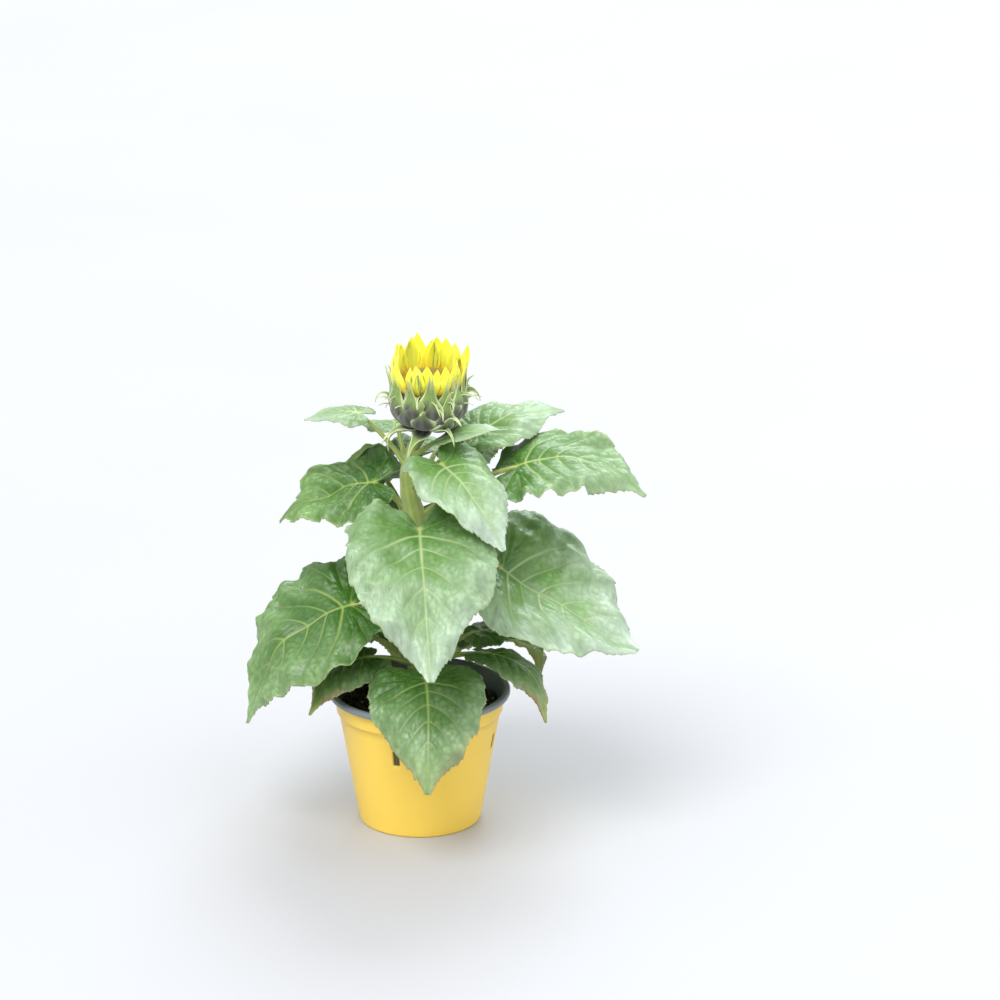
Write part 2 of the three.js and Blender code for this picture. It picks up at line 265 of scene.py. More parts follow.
# ---------- meshes ----------
class Pile:
    """Closed solids gathered into one mesh, with a paint colour at every corner."""

    def __init__(self):
        self.points, self.faces, self.paint, self.count = [], [], [], 0

    def add(self, points, faces, paint):
        points = np.asarray(points, float)
        paint = np.broadcast_to(np.asarray(paint, float), (len(points), 3))
        self.points.append(points)
        self.paint.append(paint)
        self.faces.append([np.asarray(f) + self.count for f in faces])
        self.count += len(points)

    def piece(self, name, material, slot, *replaced, smooth=True):
        points = np.concatenate(self.points)
        groups = [g for solid in self.faces for g in solid]
        mesh = bpy.data.meshes.new(name)
        sizes = np.concatenate([np.full(len(g), g.shape[1]) for g in groups])
        corners = np.concatenate([g.reshape(-1) for g in groups])
        mesh.vertices.add(len(points))
        mesh.vertices.foreach_set("co", points.reshape(-1))
        mesh.loops.add(len(corners))
        mesh.loops.foreach_set("vertex_index", corners.astype(np.int32))
        mesh.polygons.add(len(sizes))
        mesh.polygons.foreach_set("loop_start", (np.cumsum(sizes) - sizes).astype(np.int32))
        mesh.polygons.foreach_set("use_smooth", np.full(len(sizes), smooth))
        mesh.update(calc_edges=True)
        mesh.validate()
        colour = mesh.color_attributes.new("paint", "FLOAT_COLOR", "POINT")
        rgba = np.concatenate([np.concatenate(self.paint), np.ones((len(points), 1))], 1)
        colour.data.foreach_set("color", rgba.reshape(-1))
        mesh.materials.append(MATERIALS[material])
        piece = bpy.data.objects.new(name, mesh)
        bpy.context.scene.collection.objects.link(piece)
        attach(piece, "root")
        if replaced:
            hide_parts(*replaced)
        return piece


def grid_faces(rows, columns, wrap=False):
    """Quads of a grid of points, row by row; wrap joins the last column to the first."""
    r = np.arange(rows - 1)[:, None]
    c = np.arange(columns if wrap else columns - 1)[None, :]
    n = (c + 1) % columns
    quads = [r * columns + c, r * columns + n, (r + 1) * columns + n, (r + 1) * columns + c]
    return np.stack([np.broadcast_to(q, (rows - 1, c.shape[1])) for q in quads], -1).reshape(-1, 4)


def unit(v):
    return v / np.maximum(np.linalg.norm(v, axis=-1, keepdims=True), 1e-12)


def sheet(pile, grid, thickness, paint, under=None):
    """A thin closed solid on both sides of a grid of points (rows, columns, 3)."""
    rows, columns = grid.shape[:2]
    normal = unit(np.cross(np.gradient(grid, axis=1), np.gradient(grid, axis=0)))
    lift = np.broadcast_to(np.asarray(thickness, float), (rows, columns))[..., None] / 2
    top = (grid + normal * lift).reshape(-1, 3)
    bottom = (grid - normal * lift).reshape(-1, 3)
    faces = grid_faces(rows, columns)
    rim = np.concatenate([
        np.arange(columns - 1),
        np.arange(rows - 1) * columns + columns - 1,
        (rows - 1) * columns + np.arange(columns - 1, 0, -1),
        np.arange(rows - 1, 0, -1) * columns,
    ])
    after = np.roll(rim, -1)
    total = rows * columns
    edge = np.stack([after, rim, rim + total, after + total], -1)
    paint = np.broadcast_to(paint, (rows, columns, 3)).reshape(-1, 3)
    below = paint if under is None else np.broadcast_to(under, (rows, columns, 3)).reshape(-1, 3)
    points = np.concatenate([top, bottom])
    pile.add(points, [faces, faces[:, ::-1] + total, edge], np.concatenate([paint, below]))


def tube(pile, centres, radii, sides, paint, guide=(0, 0, 1), profile=None):
    """A closed limb round a line of points; profile(angle, along) scales its radius."""
    count = len(centres)
    along = unit(np.gradient(centres, axis=0))
    across = unit(np.cross(np.broadcast_to(np.array(guide, float), along.shape), along))
    upward = np.cross(along, across)
    angle = np.arange(sides) * 2 * math.pi / sides
    reach = np.asarray(radii, float)[:, None] * np.ones((count, sides))
    if profile:
        reach = reach * profile(angle[None, :], np.linspace(0, 1, count)[:, None])
    turn = angle[None, :, None]
    ring = np.cos(turn) * across[:, None] + np.sin(turn) * upward[:, None]
    points = centres[:, None] + reach[..., None] * ring
    ends = np.stack([centres[0], centres[-1]])
    points = np.concatenate([points.reshape(-1, 3), ends])
    k = np.arange(sides)
    n = (k + 1) % sides
    last = (count - 1) * sides
    foot = np.stack([np.full(sides, count * sides), n, k], -1)
    head = np.stack([np.full(sides, count * sides + 1), last + k, last + n], -1)
    paint = np.asarray(paint, float)
    if paint.ndim == 3:
        paint = np.concatenate([paint.reshape(-1, 3), paint[0, :1], paint[-1, :1]])
    elif paint.ndim == 2:
        paint = np.concatenate([np.repeat(paint, sides, 0), paint[:1], paint[-1:]])
    pile.add(points, [grid_faces(count, sides, True), foot, head], paint)


def turned(pile, profile, segments, paint, wobble=None):
    """A closed solid of revolution: profile rows (radius, height) go round the section once."""
    profile = np.asarray(profile, float)
    angle = np.arange(segments) * 2 * math.pi / segments
    radius = profile[:, :1] * np.ones(segments)
    height = profile[:, 1:] * np.ones(segments)
    if wobble:
        radius, height = wobble(radius, height, np.broadcast_to(angle, radius.shape))
    points = np.stack([radius * np.cos(angle), radius * np.sin(angle), height], -1)
    rows = len(profile)
    faces = grid_faces(rows, segments, True)
    closing = grid_faces(2, segments, True)
    closing = np.where(closing >= segments, closing - segments, closing + (rows - 1) * segments)
    paint = np.asarray(paint, float)
    if paint.ndim == 2:
        paint = np.repeat(paint, segments, 0)
    elif paint.ndim == 3:
        paint = paint.reshape(-1, 3)
    pile.add(points.reshape(-1, 3), [faces, closing], paint)


def mix(a, b, t):
    return a + (b - a) * t


def blend(a, b, t):
    """Mixes two colours by a field of weights."""
    return np.asarray(a) + (np.asarray(b) - np.asarray(a)) * np.asarray(t)[..., None]


def waves(rng, x, y, size, count=6):
    """A smooth random field over two coordinates, about -1 to 1."""
    total = 0
    for _ in range(count):
        turn, phase = rng.uniform(0, 2 * math.pi, 2)
        pace = rng.uniform(0.6, 1.6) / size
        total = total + np.sin((x * math.cos(turn) + y * math.sin(turn)) * pace * 2 * math.pi + phase)
    return total / math.sqrt(count)


def pillows(rng, x, y, size):
    """Uneven cells over two coordinates: 1 in their middles, 0 along their borders."""
    spots = rng.uniform(0, 1, (64, 64, 2))
    x, y = x / size, y / size
    column, row = np.floor(x).astype(int), np.floor(y).astype(int)
    first, second = np.full(x.shape, 9.0), np.full(x.shape, 9.0)
    for across in (-1, 0, 1):
        for down in (-1, 0, 1):
            spot = spots[(column + across) % 64, (row + down) % 64]
            gap = np.hypot(column + across + spot[..., 0] - x, row + down + spot[..., 1] - y)
            second = np.minimum(second, np.maximum(first, gap))
            first = np.minimum(first, gap)
    return np.clip((second - first) / 0.5, 0, 1)


# ---------- stem, stalks and blades ----------
def stem_at(z):
    """Stem axis and radius at heights, eased from station to station."""
    z = np.atleast_1d(np.asarray(z, float))
    k = np.clip(np.searchsorted(STEM[:, 0], z) - 1, 0, len(STEM) - 2)
    t = np.clip((z - STEM[k, 0]) / (STEM[k + 1, 0] - STEM[k, 0]), 0, 1)
    eased = (t * t * (3 - 2 * t))[:, None]
    values = mix(STEM[k, 1:], STEM[k + 1, 1:], eased)
    return np.concatenate([values[:, :2], z[:, None]], 1), values[:, 2]


def heading(pitch, bearing):
    """Unit vectors that head for a bearing and rise by a pitch, in radians."""
    pitch, bearing = np.broadcast_arrays(pitch, bearing)
    level = np.cos(pitch)
    return np.stack([level * np.sin(bearing), -level * np.cos(bearing), np.sin(pitch)], -1)


ARC_STEPS = 24


def arc(start, length, pitches, bearing, sweep):
    """Points of a curve whose pitch and bearing change evenly, as in the CAD model."""
    t = (np.arange(ARC_STEPS) + 0.5) / ARC_STEPS
    moves = heading(mix(pitches[0], pitches[1], t), bearing + sweep * t) * length / ARC_STEPS
    return np.concatenate([[start], start + np.cumsum(moves, 0)])


def along(points, t):
    at = np.linspace(0, 1, len(points))
    return np.stack([np.interp(t, at, points[:, k]) for k in range(3)], -1)


class Leaf:
    def __init__(self, name, row):
        node, bearing, stalk, blade, pitch, roll, sweep, fold, pale, wave, brown = row
        self.name = name
        self.node = node * MM
        self.bearing = math.radians(bearing)
        self.stalk_length = stalk[0] * MM
        self.stalk_pitches = [math.radians(stalk[1]), math.radians(stalk[2])]
        self.length = blade[0] * MM
        self.half_width = blade[1] / 2 * MM
        self.pitches = [math.radians(p) for p in pitch]
        self.roll = math.radians(roll)
        self.sweep = math.radians(sweep)
        self.fold = math.radians(fold)
        self.pale, self.wave, self.brown = pale, wave * MM, brown
        centre, radius = stem_at(self.node)
        self.stem_radius = radius[0]
        self.stalk = arc(centre[0], self.stalk_length, self.stalk_pitches, self.bearing, 0)
        self.midrib = arc(self.stalk[-1], self.length, self.pitches, self.bearing, self.sweep)

    def surface(self, x, y, lift):
        """Points of the blade: x in blade lengths, y and lift in metres."""
        t = np.clip(x, 0, 1)
        pitch = mix(self.pitches[0], self.pitches[1], t)
        bearing = self.bearing + self.sweep * t
        forward = heading(pitch, bearing)
        level = np.stack([np.cos(bearing), np.sin(bearing), np.zeros_like(bearing)], -1)
        normal = np.cross(forward, level)
        aside = math.cos(self.roll) * level + math.sin(self.roll) * normal
        up = math.cos(self.roll) * normal - math.sin(self.roll) * level
        height = np.abs(y) * math.sin(self.fold) + CUP * y * y / self.half_width + lift
        back = (np.minimum(x, 0) * self.length)[..., None] * forward
        out = (y * math.cos(self.fold))[..., None] * aside
        return along(self.midrib, t) + back + out + height[..., None] * up


def smooth_rows(table, at):
    """Catmull-Rom values of a table at fractional rows."""
    k = np.clip(np.floor(at).astype(int), 0, len(table) - 2)
    t = (at - k)[:, None]
    before = table[np.maximum(k - 1, 0)]
    here, there = table[k], table[k + 1]
    after = table[np.minimum(k + 2, len(table) - 1)]
    square = 2 * before - 5 * here + 4 * there - after
    cube = 3 * here - before - 3 * there + after
    return 0.5 * (2 * here + (there - before) * t + square * t ** 2 + cube * t ** 3)


def vein_line(leaf, at, u):
    """Flat place (x, y in metres) at fraction u of the curved ruling that ends at outline row at."""
    x, y, start = smooth_rows(OUTLINE, at).T
    x, y, start = (v[:, None] for v in (x, y, start))
    u = u[None, :]
    bend_x = start + 0.22 * (x - start)
    bend_y = 0.58 * y
    flat_x = (1 - u) ** 2 * start + 2 * u * (1 - u) * bend_x + u ** 2 * x
    flat_y = 2 * u * (1 - u) * bend_y + u ** 2 * y
    return flat_x * leaf.length, flat_y * leaf.half_width


VEIN_ROWS = np.array([v[0] for v in VEINS])


def blade_rows(size):
    """Outline rows for a blade's mesh: evenly spread ones, with three close together on every side vein."""
    fine = np.linspace(0, len(OUTLINE) - 1, 600)
    x, y, start = smooth_rows(OUTLINE, fine).T
    slender = 2.1  # a blade's length in half widths
    at_edge = np.hypot(np.diff(x) * slender, np.diff(y))
    halfway = np.hypot(np.diff(start + x) * slender, np.diff(y)) / 2
    at_midrib = 0.8 * np.abs(np.diff(start)) * slender
    apart = np.maximum(np.maximum(at_edge, halfway), at_midrib)
    reach = np.concatenate([[0], np.cumsum(apart)])
    even = np.interp(np.linspace(0, reach[-1], size), reach, fine)
    close = 0.04
    keep = np.abs(even[:, None] - VEIN_ROWS).min(1) > 1.5 * close
    keep[[0, -1]] = True
    return np.sort(np.concatenate([even[keep], VEIN_ROWS - close, VEIN_ROWS, VEIN_ROWS + close]))


def toothed_edge(leaf, rng, rows, run):
    """How far the margin stands out or in along its run: coarse teeth on slow bulges."""
    size = (leaf.length / TYPICAL_LENGTH) ** 0.5
    phase = run / (TOOTH_SPACING * size) + 0.8 * waves(rng, run, 0 * run, 24 * MM)
    height = TOOTH_HEIGHT * size * (0.75 + 0.35 * waves(rng, run, 0 * run, 17 * MM))
    teeth = ((phase % 1.0) ** 1.4 - 0.45) * height
    bulges = 0.035 * waves(rng, run, 0 * run, 46 * MM) + 0.022 * waves(rng, run, 0 * run, 19 * MM)
    fade = np.clip((rows - 1.2) / 1.5, 0, 1)
    end = len(OUTLINE) - 1 - rows
    bulges = bulges * leaf.half_width * fade * np.clip(end / 2.5, 0, 1)
    return teeth * fade * np.clip(end / 0.9, 0, 1), bulges


def half_blade(leaf, rng, rows, u, side):
    """One half of a blade: flat places, lift off the smooth surface, vein mask, puff, and the net of cell
    borders that the paint darkens as painted shade.
    """
    px, py = vein_line(leaf, rows, u)
    run = np.concatenate([[0], np.cumsum(np.hypot(np.diff(px[:, -1]), np.diff(py[:, -1])))])
    outward = unit(np.stack([px[:, -1] - px[:, -4], py[:, -1] - py[:, -4]], -1))
    teeth, bulges = toothed_edge(leaf, rng, rows, run)
    push = (teeth[:, None] * u ** 9 + bulges[:, None] * u ** 2)[..., None] * outward[:, None]
    px, py = px + push[..., 0], py + push[..., 1]
    t = np.clip(px / leaf.length, 0, 1)

    # veins, and the distance from the nearest one
    mask = np.zeros_like(px)
    gap = py / MM
    for row, strength, start in VEINS:
        vx, vy = vein_line(leaf, np.array([row]), u)
        near = np.hypot(px - vx, py - vy)
        shown = strength * np.clip((u - start) / 0.1 + (start == 0), 0, 1) * (1 - 0.8 * u)
        mask = np.maximum(mask, shown * np.exp(-(near / ((0.36 + 0.26 * strength) * MM)) ** 2))
        gap = np.minimum(gap, near / MM + 6 * (u < start))
    middle = np.exp(-(py / (0.75 * MM * (1.2 - 0.8 * t))) ** 2)
    mask = np.maximum(mask, middle * (1 - 0.65 * t))

    # the lamina bulges between its veins, in pillows that follow each other like rungs
    step = np.hypot(np.diff(px, axis=1), np.diff(py, axis=1))
    reach = np.concatenate([np.zeros((len(rows), 1)), np.cumsum(step, 1)], 1)
    between = np.searchsorted(VEIN_ROWS, rows)
    offset = rng.uniform(0, 1, len(VEIN_ROWS) + 1)[between][:, None]
    place = reach / RUNG_SPACING + offset + 0.25 * waves(rng, px, py, 16 * MM)
    rung = np.abs(np.sin(math.pi * place)) ** 0.6
    fine = pillows(rng, px, py, CELL_SIZE) ** 0.7
    free = 1 - np.exp(-gap / 3.0)
    calm = np.clip((1.05 - t) / 0.4, 0.25, 1)
    puff = free * (1 + calm * (0.20 * (rung - 0.6) + 0.55 * (fine - 0.65)))
    furrow_shade_net = free * (1 - fine)
    local = np.clip(py[:, -1] / (15 * MM), 0, 1)[:, None]
    quilt = PUCKER_LIFT * (1.0 - 0.5 * leaf.pale) * local * puff

    # the margin waves up and down, and droops a little
    swing = waves(rng, px, py, 27 * MM) + 0.45 * waves(rng, px, py, 13 * MM)
    ripple = leaf.wave * local * u ** 2.4 * swing
    droop = -0.12 * leaf.half_width * local * np.clip((u - 0.7) / 0.3, 0, 1) ** 2
    lift = (quilt + ripple + droop) * np.clip(u * 12, 0, 1)

    # a rolled margin turns up round its own radius
    if leaf.name in CURLS and CURLS[leaf.name][0] == side:
        _, start, radius, (first, last) = CURLS[leaf.name]
        amount = np.clip((rows - first) / 1.2, 0, 1) * np.clip((last - rows) / 1.2, 0, 1)
        begin = start * py[:, -1:]
        over = np.maximum(py - begin, 0)
        turn = over / radius
        rolled = begin + radius * np.sin(turn)
        py = np.where(over > 0, mix(py, rolled, amount[:, None]), py)
        lift = lift + amount[:, None] * radius * (1 - np.cos(turn))
    return px, side * py, lift, mask, puff, furrow_shade_net


def blade_paint(leaf, rng, x, y, share, mask, puff, furrow_shade_net):
    """Colours of the upper face and the underside."""
    t = np.clip(x / leaf.length, 0, 1)
    patch = 0.5 + 0.5 * waves(rng, x, y, 26 * MM)
    small = waves(rng, x, y, 7 * MM)
    pale = np.array(leaf.pale)
    # the pillows' puff also pales their tops a little: painted light
    outer = 0.50 * share ** 1.8 + 0.80 * t + 0.25 * (patch - 0.5) + 0.08 * (puff - 0.8) - 0.12
    # towards the tip and the margin the paint turns to the outer colour, which on pale leaves is partly
    # painted sheen
    paint = blend(blend(*LEAF_INNER, pale), blend(*LEAF_OUTER_AND_SHEEN, pale), np.clip(outer, 0, 1))
    from_foot = np.hypot(x, y)
    paint = blend(paint, LEAF_FOOT, 0.85 * np.exp(-from_foot / (0.20 * leaf.length)))
    # painted light on the pillows' tops, and painted shade in their furrows and along the net of their
    # borders
    shade = 0.42 * (1 - 0.4 * pale) * (np.clip(puff, 0, 1.25) ** 0.8 - 1)
    paint = paint * ((1.03 + shade + 0.04 * small) * (1 - (0.46 - 0.24 * pale) * furrow_shade_net))[..., None]
    paint = blend(paint, blend(*LEAF_VEIN, pale), 0.92 * mask)
    paint = blend(paint, LEAF_KNOT, 0.75 * np.exp(-(from_foot / (2.0 * MM)) ** 2))
    paint = blend(paint, LEAF_RIM, 0.6 * np.clip((share - 0.97) / 0.03, 0, 1))
    if leaf.brown:
        ageing = np.clip((t - 0.66 + 0.16 * (share - 0.5) + 0.06 * small) / 0.3, 0, 1) * leaf.brown
        paint = blend(paint, YELLOWED, 0.8 * ageing)
        margin = np.clip((share - 0.80 + 0.05 * small) / 0.14, 0, 1) * np.clip((t - 0.42) / 0.3, 0, 1)
        margin = margin * leaf.brown * np.clip(0.3 + 1.1 * patch, 0, 1)
        paint = blend(paint, BROWNED, np.clip(margin, 0, 0.9))
        edge = np.clip((share - 0.95) / 0.05, 0, 1) * np.clip(0.2 + small, 0, 1) * leaf.brown
        paint = blend(paint, DRIED, np.clip(edge, 0, 0.8))
    under = paint + (blend(*LEAF_BELOW, pale) - paint) * 0.75
    return paint, blend(under, VEIN_BELOW, 0.8 * mask)


def blade_piece(leaf):
    rng = np.random.default_rng(int(1e6 * leaf.length + 1e7 * leaf.node))
    big = leaf.length > BIG_LEAF
    rows = blade_rows(108 if big else 72)
    u = np.concatenate([[0, 0.016, 0.036], np.linspace(0.062, 1, 36 if big else 23)])
    halves = [
        half_blade(leaf, np.random.default_rng(rng.integers(1 << 30)), rows, u, side)
        for side in (-1, 1)
    ]
    x, y, lift, mask, puff, furrow_shade_net = (np.concatenate([a[:, :0:-1], b], 1) for a, b in zip(*halves))
    share = np.concatenate([u[:0:-1], u])[None, :] + 0 * x
    buckle = np.clip(np.hypot(x, y) / (25 * MM), 0, 1)
    lift = lift + 1.7 * MM * buckle * waves(rng, x, y, 38 * MM)
    grid = leaf.surface(x / leaf.length, y, lift)
    paint, under = blade_paint(leaf, rng, x, y, share, mask, puff, furrow_shade_net)
    thick = BLADE_THICKNESS + VEIN_THICKNESS * mask * (1 - 0.6 * share)
    pile = Pile()
    sheet(pile, grid[:, ::-1], thick[:, ::-1], paint[:, ::-1], under[:, ::-1])
    return pile.piece(f"blade_{leaf.name}", "leaf", "leaf", f"leaf_{leaf.name}")


def stalk_radius(leaf, t):
    """Radius of a leaf's stalk from its foot to its neck: longer blades have stouter ones."""
    return mix(1.3 + 0.012 * leaf.length / MM, 0.75 + 0.008 * leaf.length / MM, t) * MM


def stalk_piece(leaf):
    """A leaf stalk with a groove along its top, flared where it leaves the stem."""
    steps = 30
    begin = 0.35 * leaf.stem_radius / math.cos(leaf.stalk_pitches[0]) / leaf.stalk_length
    t = np.linspace(begin, 1.0, steps)
    centres = along(leaf.stalk, t)
    s = np.linspace(0, 1, steps)
    from_stem = s * leaf.stalk_length
    radii = stalk_radius(leaf, s) * (1 + 0.55 * np.exp(-from_stem / (4.5 * MM)))
    radii[-1] *= 0.6

    def groove(angle, along_stalk):
        top = np.exp(-((angle - math.pi / 2) / 0.5) ** 2)
        ribs = 0.035 * np.cos(7 * angle)
        return 1 - 0.30 * top * np.clip(along_stalk * 6, 0.2, 1) + ribs

    sides = 20
    angle = np.arange(sides) * 2 * math.pi / sides
    light = 0.5 + 0.5 * np.cos(5 * angle)[None, :] * np.ones((steps, 1))
    paint = blend(linear(124, 146, 62), linear(166, 182, 92), light)
    paint = blend(paint, linear(190, 196, 110), 0.5 * (s[:, None] > 0.85) * np.ones(sides))
    pile = Pile()
    tube(pile, centres, radii, sides, paint, profile=groove)
    return pile.piece(f"petiole_{leaf.name}", "stem", "stalk", f"stalk_{leaf.name}")


def stem_piece():
    count, sides = 150, 36
    heights = np.linspace(STEM_LOW[2] - 3 * MM, STEM_HIGH[2] + 1.5 * MM, count)
    centres, radii = stem_at(np.maximum(heights, STEM[0, 0]))
    centres[:, 2] = heights
    swell = np.zeros(count)
    for leaf in LEAF_LIST:
        swell += 0.10 * np.exp(-((heights - leaf.node) / (4 * MM)) ** 2)
    radii = radii * (1 + np.minimum(swell, 0.25))

    def ribs(angle, at):
        return 1 + 0.035 * np.cos(9 * angle + 5 * at) + 0.02 * np.sin(4 * angle - 16 * at)

    angle = np.arange(sides) * 2 * math.pi / sides
    high = np.linspace(0, 1, count)[:, None]
    stripe = 0.5 + 0.5 * np.cos(9 * angle[None, :] + 5 * high)
    low_colour = blend(linear(150, 164, 84), linear(140, 160, 78), high * np.ones(sides))
    paint = blend(low_colour, linear(182, 194, 112), 0.4 * stripe)
    pile = Pile()
    tube(pile, centres, radii, sides, paint, guide=(0, 1, 0), profile=ribs)
    return pile.piece("stem_skin", "stem", "stem", "stem")


def hair_piece():
    """Fine hairs on the stem and the stalks."""
    pile = Pile()
    roots, outs = [], []
    count = 2600
    z = RNG.uniform(STEM_LOW[2], STEM_HIGH[2], count)
    centres, radii = stem_at(z)
    a = RNG.uniform(0, 2 * math.pi, count)
    out = np.stack([np.cos(a), np.sin(a), RNG.normal(0, 0.3, count)], -1)
    roots.append(centres + radii[:, None] * out * 0.98)
    outs.append(unit(out))
    for leaf in LEAF_LIST:
        n = int(90 * leaf.stalk_length / (40 * MM))
        t = RNG.uniform(0.15, 1, n)
        centres = along(leaf.stalk, t)
        spread = RNG.normal(0, 1, (n, 3))
        forward = heading(np.array(leaf.stalk_pitches[0]), np.array(leaf.bearing))
        spread = unit(spread - (spread @ forward)[:, None] * forward)
        radius = stalk_radius(leaf, t)
        roots.append(centres + spread * radius[:, None] * 0.9)
        outs.append(spread)
    roots, outs = np.concatenate(roots), np.concatenate(outs)
    n = len(roots)
    length = RNG.uniform(0.8, 1.7, n)[:, None] * MM
    thick = 0.07 * MM
    side = unit(np.cross(outs, RNG.normal(0, 1, (n, 3))))
    other = np.cross(outs, side)
    tips = roots + outs * length + RNG.normal(0, 0.15, (n, 3)) * MM
    corners = [roots + thick * (side * math.cos(k) + other * math.sin(k)) for k in (0, 2.09, 4.19)]
    points = np.stack([*corners, tips], 1).reshape(-1, 3)
    base = np.arange(n)[:, None] * 4
    faces = np.concatenate([base + np.array(f) for f in ((0, 2, 1), (0, 1, 3), (1, 2, 3), (2, 0, 3))])
    pile.add(points, [faces], linear(214, 220, 176))
    return pile.piece("stem_hairs", "hair", "stem")


# ---------- flower head ----------
def head_strip(angle, start_radius, start_height, length, width, pitch_keys, shape, cup, rows, columns,
               twist=0.0, side_lean=0.0, pleat=0.0):
    """A petal-like strip that leaves the head at an angle round its axis.

    pitch_keys: pitch along the strip in degrees, 90 straight up. shape: width along it, 0 to 1.
    """
    s = np.linspace(0, 1, rows)
    pitch = np.radians(np.interp(s, np.linspace(0, 1, len(pitch_keys)), pitch_keys))
    step = length / (rows - 1)
    mid = (pitch[1:] + pitch[:-1]) / 2
    r = start_radius + np.concatenate([[0], np.cumsum(np.cos(mid) * step)])
    z = start_height + np.concatenate([[0], np.cumsum(np.sin(mid) * step)])
    turn = angle + side_lean * s ** 1.5 / np.maximum(r / start_radius, 0.6)
    v = np.linspace(-1, 1, columns)[None, :]
    half = (width / 2 * np.interp(s, np.linspace(0, 1, len(shape)), shape))[:, None]
    out = np.stack([np.cos(turn), np.sin(turn), 0 * turn], -1)
    tangent = np.stack([-np.sin(turn), np.cos(turn), 0 * turn], -1)
    up = np.array([0.0, 0.0, 1.0])
    normal = np.sin(pitch)[:, None] * out - np.cos(pitch)[:, None] * up
    spin = (twist * s)[:, None]
    wide = np.cos(spin) * tangent + np.sin(spin) * normal
    face = np.cos(spin) * normal - np.sin(spin) * tangent
    centre = np.array([HEAD_X, HEAD_Y, 0]) + r[:, None] * out + z[:, None] * up
    bulge = cup * half * (1 - v ** 2) + pleat * np.cos(3 * math.pi * v) * (half > 0.8 * MM)
    grid = centre[:, None] + (half * v)[..., None] * wide[:, None] + bulge[..., None] * face[:, None]
    return grid, s[:, None] * np.ones(columns), np.abs(v) * np.ones((rows, 1))


BRACT_SHAPE = [0.84, 0.98, 1.0, 0.92, 0.68, 0.43, 0.28, 0.20, 0.14, 0.08, 0.02]
RAY_SHAPE = [0.42, 0.60, 0.78, 0.92, 1.0, 1.0, 0.93, 0.80, 0.60, 0.34, 0.04]
CUP_RADIUS = (CUP_HIGH[0] - CUP_LOW[0]) / 2
FRONT = -math.pi / 2
AXIS = 0.2 * MM  # turned solids stay this far from their axis


def bract_paint(s, v, tone, dark):
    """Dark domes up to a share of the length, with pale rims; then green, then pale tips."""
    body = blend(BRACT_DARK, BRACT_GREY, 0.5 + 0.5 * np.cos(9 * v)) * tone
    paint = blend(body, BRACT_GREEN, np.clip((s - dark + 0.12 * v) / 0.22, 0, 1))
    paint = blend(paint, BRACT_RIM, 0.95 * np.clip((v - 0.72) / 0.18, 0, 1))
    return blend(paint, BRACT_TIP, np.clip((s - 0.66) / 0.24, 0, 0.85))


def bract_piece():
    pile = Pile()
    base = CUP_LOW[2]
    # ranks: count, start radius and height, length, width in mm, pitches in degrees, cup, dark share
    ranks = [
        (12, 18.2, 10.5, 23, 12.5, [60, 79, 84, 84, 83, 76], 0.34, 0.24),
        (11, 15.6, 6.5, 27, 14.5, [34, 68, 88, 90, 82, 60], 0.42, 0.28),
        (10, 11.8, 3.0, 29, 15.5, [10, 50, 86, 96, 74, 30], 0.42, 0.38),
        (9, 8.2, 1.0, 28, 14.0, [-8, 26, 62, 60, 10, -44], 0.36, 0.40),
        (9, 5.5, 0.2, 28, 10.5, [-24, -16, 2, -26, -66, -88], 0.25, 0.26),
    ]
    for rank, (count, radius, height, length, width, pitches, cup, dark) in enumerate(ranks):
        for k in range(count):
            angle = 2 * math.pi * (k + 0.5 * (rank % 2)) / count + RNG.normal(0, 0.06) + 0.12 * (rank // 2)
            lean = RNG.normal(0, 6, len(pitches)) * np.linspace(0.2, 1.6, len(pitches))
            keys = np.array(pitches) + lean + (rank >= 2) * RNG.normal(0, 9)
            size = RNG.uniform(0.86, 1.12)
            grid, s, v = head_strip(
                angle, radius * MM, base + height * MM, length * size * MM,
                width * RNG.uniform(0.9, 1.1) * MM, keys, BRACT_SHAPE, cup, 24, 13,
                RNG.normal(0, 0.4), RNG.normal(0, 0.05 + 0.07 * rank))
            sheet(pile, grid, 0.45 * MM, bract_paint(s, v, RNG.uniform(0.75, 1.1), dark))
    # loose narrow bracts whose pale tips curl out and down
    loose = np.random.default_rng(31)
    count = 15
    for k in range(count):
        angle = 2 * math.pi * (k + loose.uniform(-0.35, 0.35)) / count
        keys = np.array([40, 70, 52, 6, -46, -84]) + loose.normal(0, 17, 6)
        grid, s, v = head_strip(
            angle, loose.uniform(13.5, 17) * MM, base + loose.uniform(3, 11) * MM,
            loose.uniform(19, 27) * MM, loose.uniform(6.5, 9.0) * MM, keys, BRACT_SHAPE, 0.45, 24, 9,
            loose.normal(0, 0.8), loose.normal(0, 0.25))
        sheet(pile, grid, 0.4 * MM, bract_paint(s, v, loose.uniform(0.9, 1.1), 0.05))
    return pile.piece("bracts", "bract", "bract", "flower_bracts")


def cup_piece():
    """The fleshy cup that the bracts sit on."""
    height = CUP_HIGH[2] - CUP_LOW[2]
    s = np.linspace(0, 1, 18)
    bowl = np.interp(s, [0, 0.08, 0.2, 0.45, 0.75, 1], [0.2, 0.45, 0.68, 0.92, 1.0, 0.95])
    outside = np.stack([0.86 * CUP_RADIUS * bowl, CUP_LOW[2] + s * (height - 1 * MM)], -1)
    profile = np.concatenate([[[AXIS, CUP_LOW[2]]], outside, [[AXIS, CUP_HIGH[2] - 1 * MM]]])

    def lumps(r, z, a):
        return r * (1 + 0.02 * np.sin(11 * a) + 0.015 * np.sin(5 * a + 400 * z)), z

    pile = Pile()
    turned(pile, profile, 64, linear(86, 96, 66), lumps)
    pile.points[-1][:, :2] += [HEAD_X, HEAD_Y]
    return pile.piece("receptacle", "bract", "bract", "flower_receptacle")


